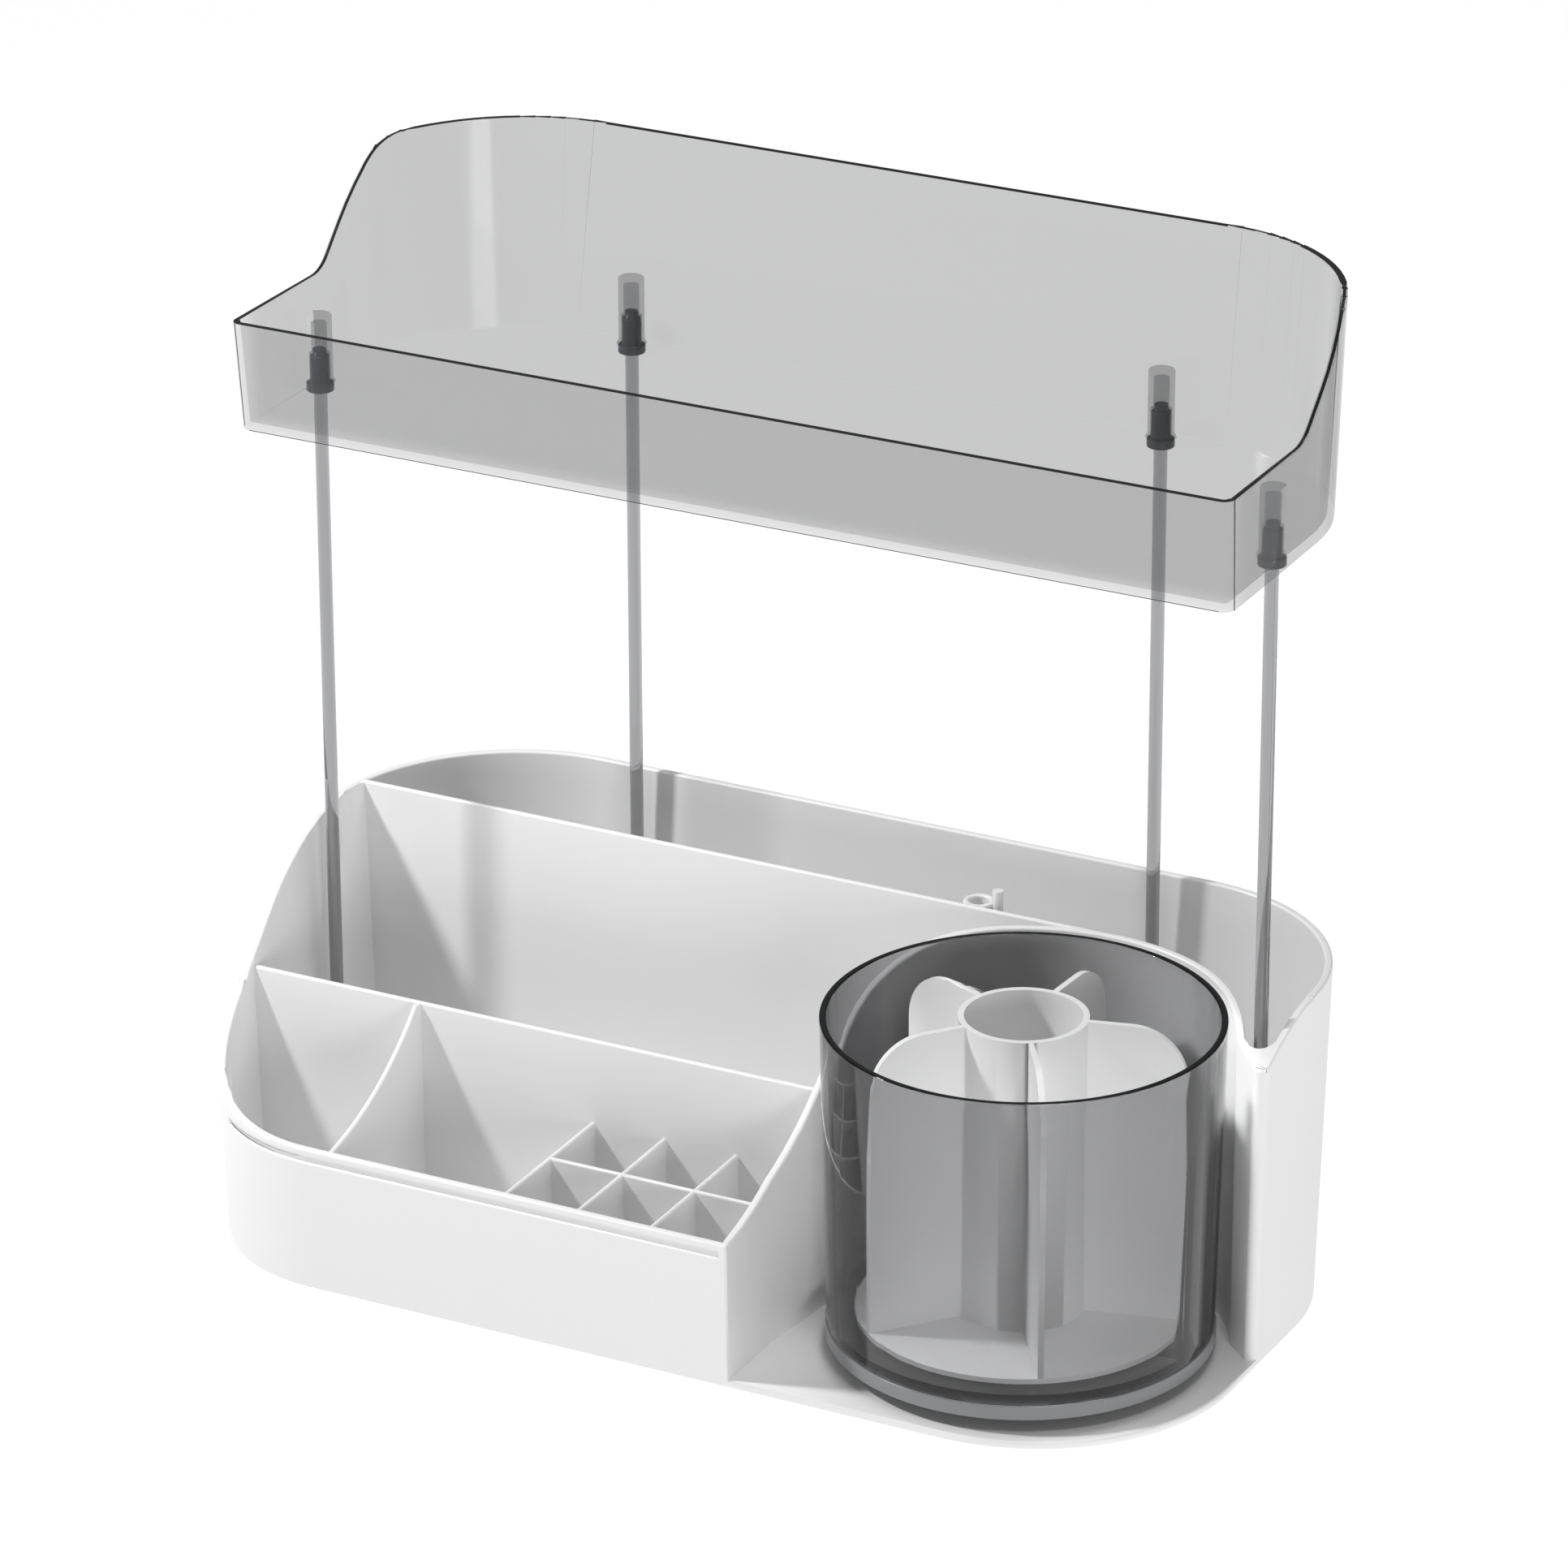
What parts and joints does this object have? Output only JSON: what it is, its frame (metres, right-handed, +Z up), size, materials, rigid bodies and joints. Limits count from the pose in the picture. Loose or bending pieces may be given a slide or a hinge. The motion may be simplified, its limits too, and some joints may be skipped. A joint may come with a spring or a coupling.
{
  "type": "makeup organizer",
  "caption": "Two-tier makeup organizer: an open base with compartments and a lipstick grid, a turning brush cup in a round bay, and a clear tray on rods above.",
  "frame": {"origin": "centre of the bounding box's bottom, on the surface that the feet stand on", "axes": "+X along the width to the right as the user sees it, -Y out of the front, +Z up"},
  "size_m": [0.321, 0.1758, 0.3077],
  "materials": {
    "white_plastic": "smooth moulded, soft sheen",
    "smoke_plastic": "clear smoke tint, polished",
    "clear_rod": "clear, polished",
    "grey_plastic": "smooth, satin",
    "steel_ball": "polished",
    "zinc_steel": "zinc plated",
    "foot_rubber": "matte"
  },
  "bodies": {
    "base": {"housing": "white_plastic", "post_front_left": "clear_rod", "post_back_left": "clear_rod", "post_back_right": "clear_rod", "post_front_right": "clear_rod", "post_cap_front_left": "grey_plastic", "post_cap_back_left": "grey_plastic", "post_cap_back_right": "grey_plastic", "post_cap_front_right": "grey_plastic", "turntable_race": "grey_plastic", "pivot_pin": "zinc_steel", "pivot_washer": "zinc_steel", "pivot_clip": "zinc_steel", "foot_front_left": "foot_rubber", "foot_back_left": "foot_rubber", "foot_back_right": "foot_rubber", "foot_front_right": "foot_rubber"},
    "tray": {"upper_tray": "smoke_plastic"},
    "drum": {"drum_cup": "smoke_plastic", "turntable_disc": "smoke_plastic", "cup_screws": "zinc_steel"},
    "insert": {"brush_insert": "white_plastic"},
    "cage": {"ball_cage": "grey_plastic", "bearing_balls": "steel_ball"}
  },
  "joints": [
    {"name": "drum_spin", "type": "hinge", "parent": "base", "child": "drum", "pos_m": [0.0928, -0.02744, 0.0006], "axis": [0, 0, 1], "continuous": true},
    {"name": "cage_spin", "type": "hinge", "parent": "base", "child": "cage", "pos_m": [0.0928, -0.02744, 0.0006], "axis": [0, 0, 1], "continuous": true},
    {"name": "insert_lift", "type": "slide", "parent": "drum", "child": "insert", "axis": [0, 0, 1], "range_m": [0, 0.11]},
    {"name": "tray_lift", "type": "slide", "parent": "base", "child": "tray", "axis": [0, 0, 1], "range_m": [0, 0.03]}
  ],
  "couplings": [
    {"joint": "cage_spin", "follows": "drum_spin", "ratio": 0.5}
  ]
}
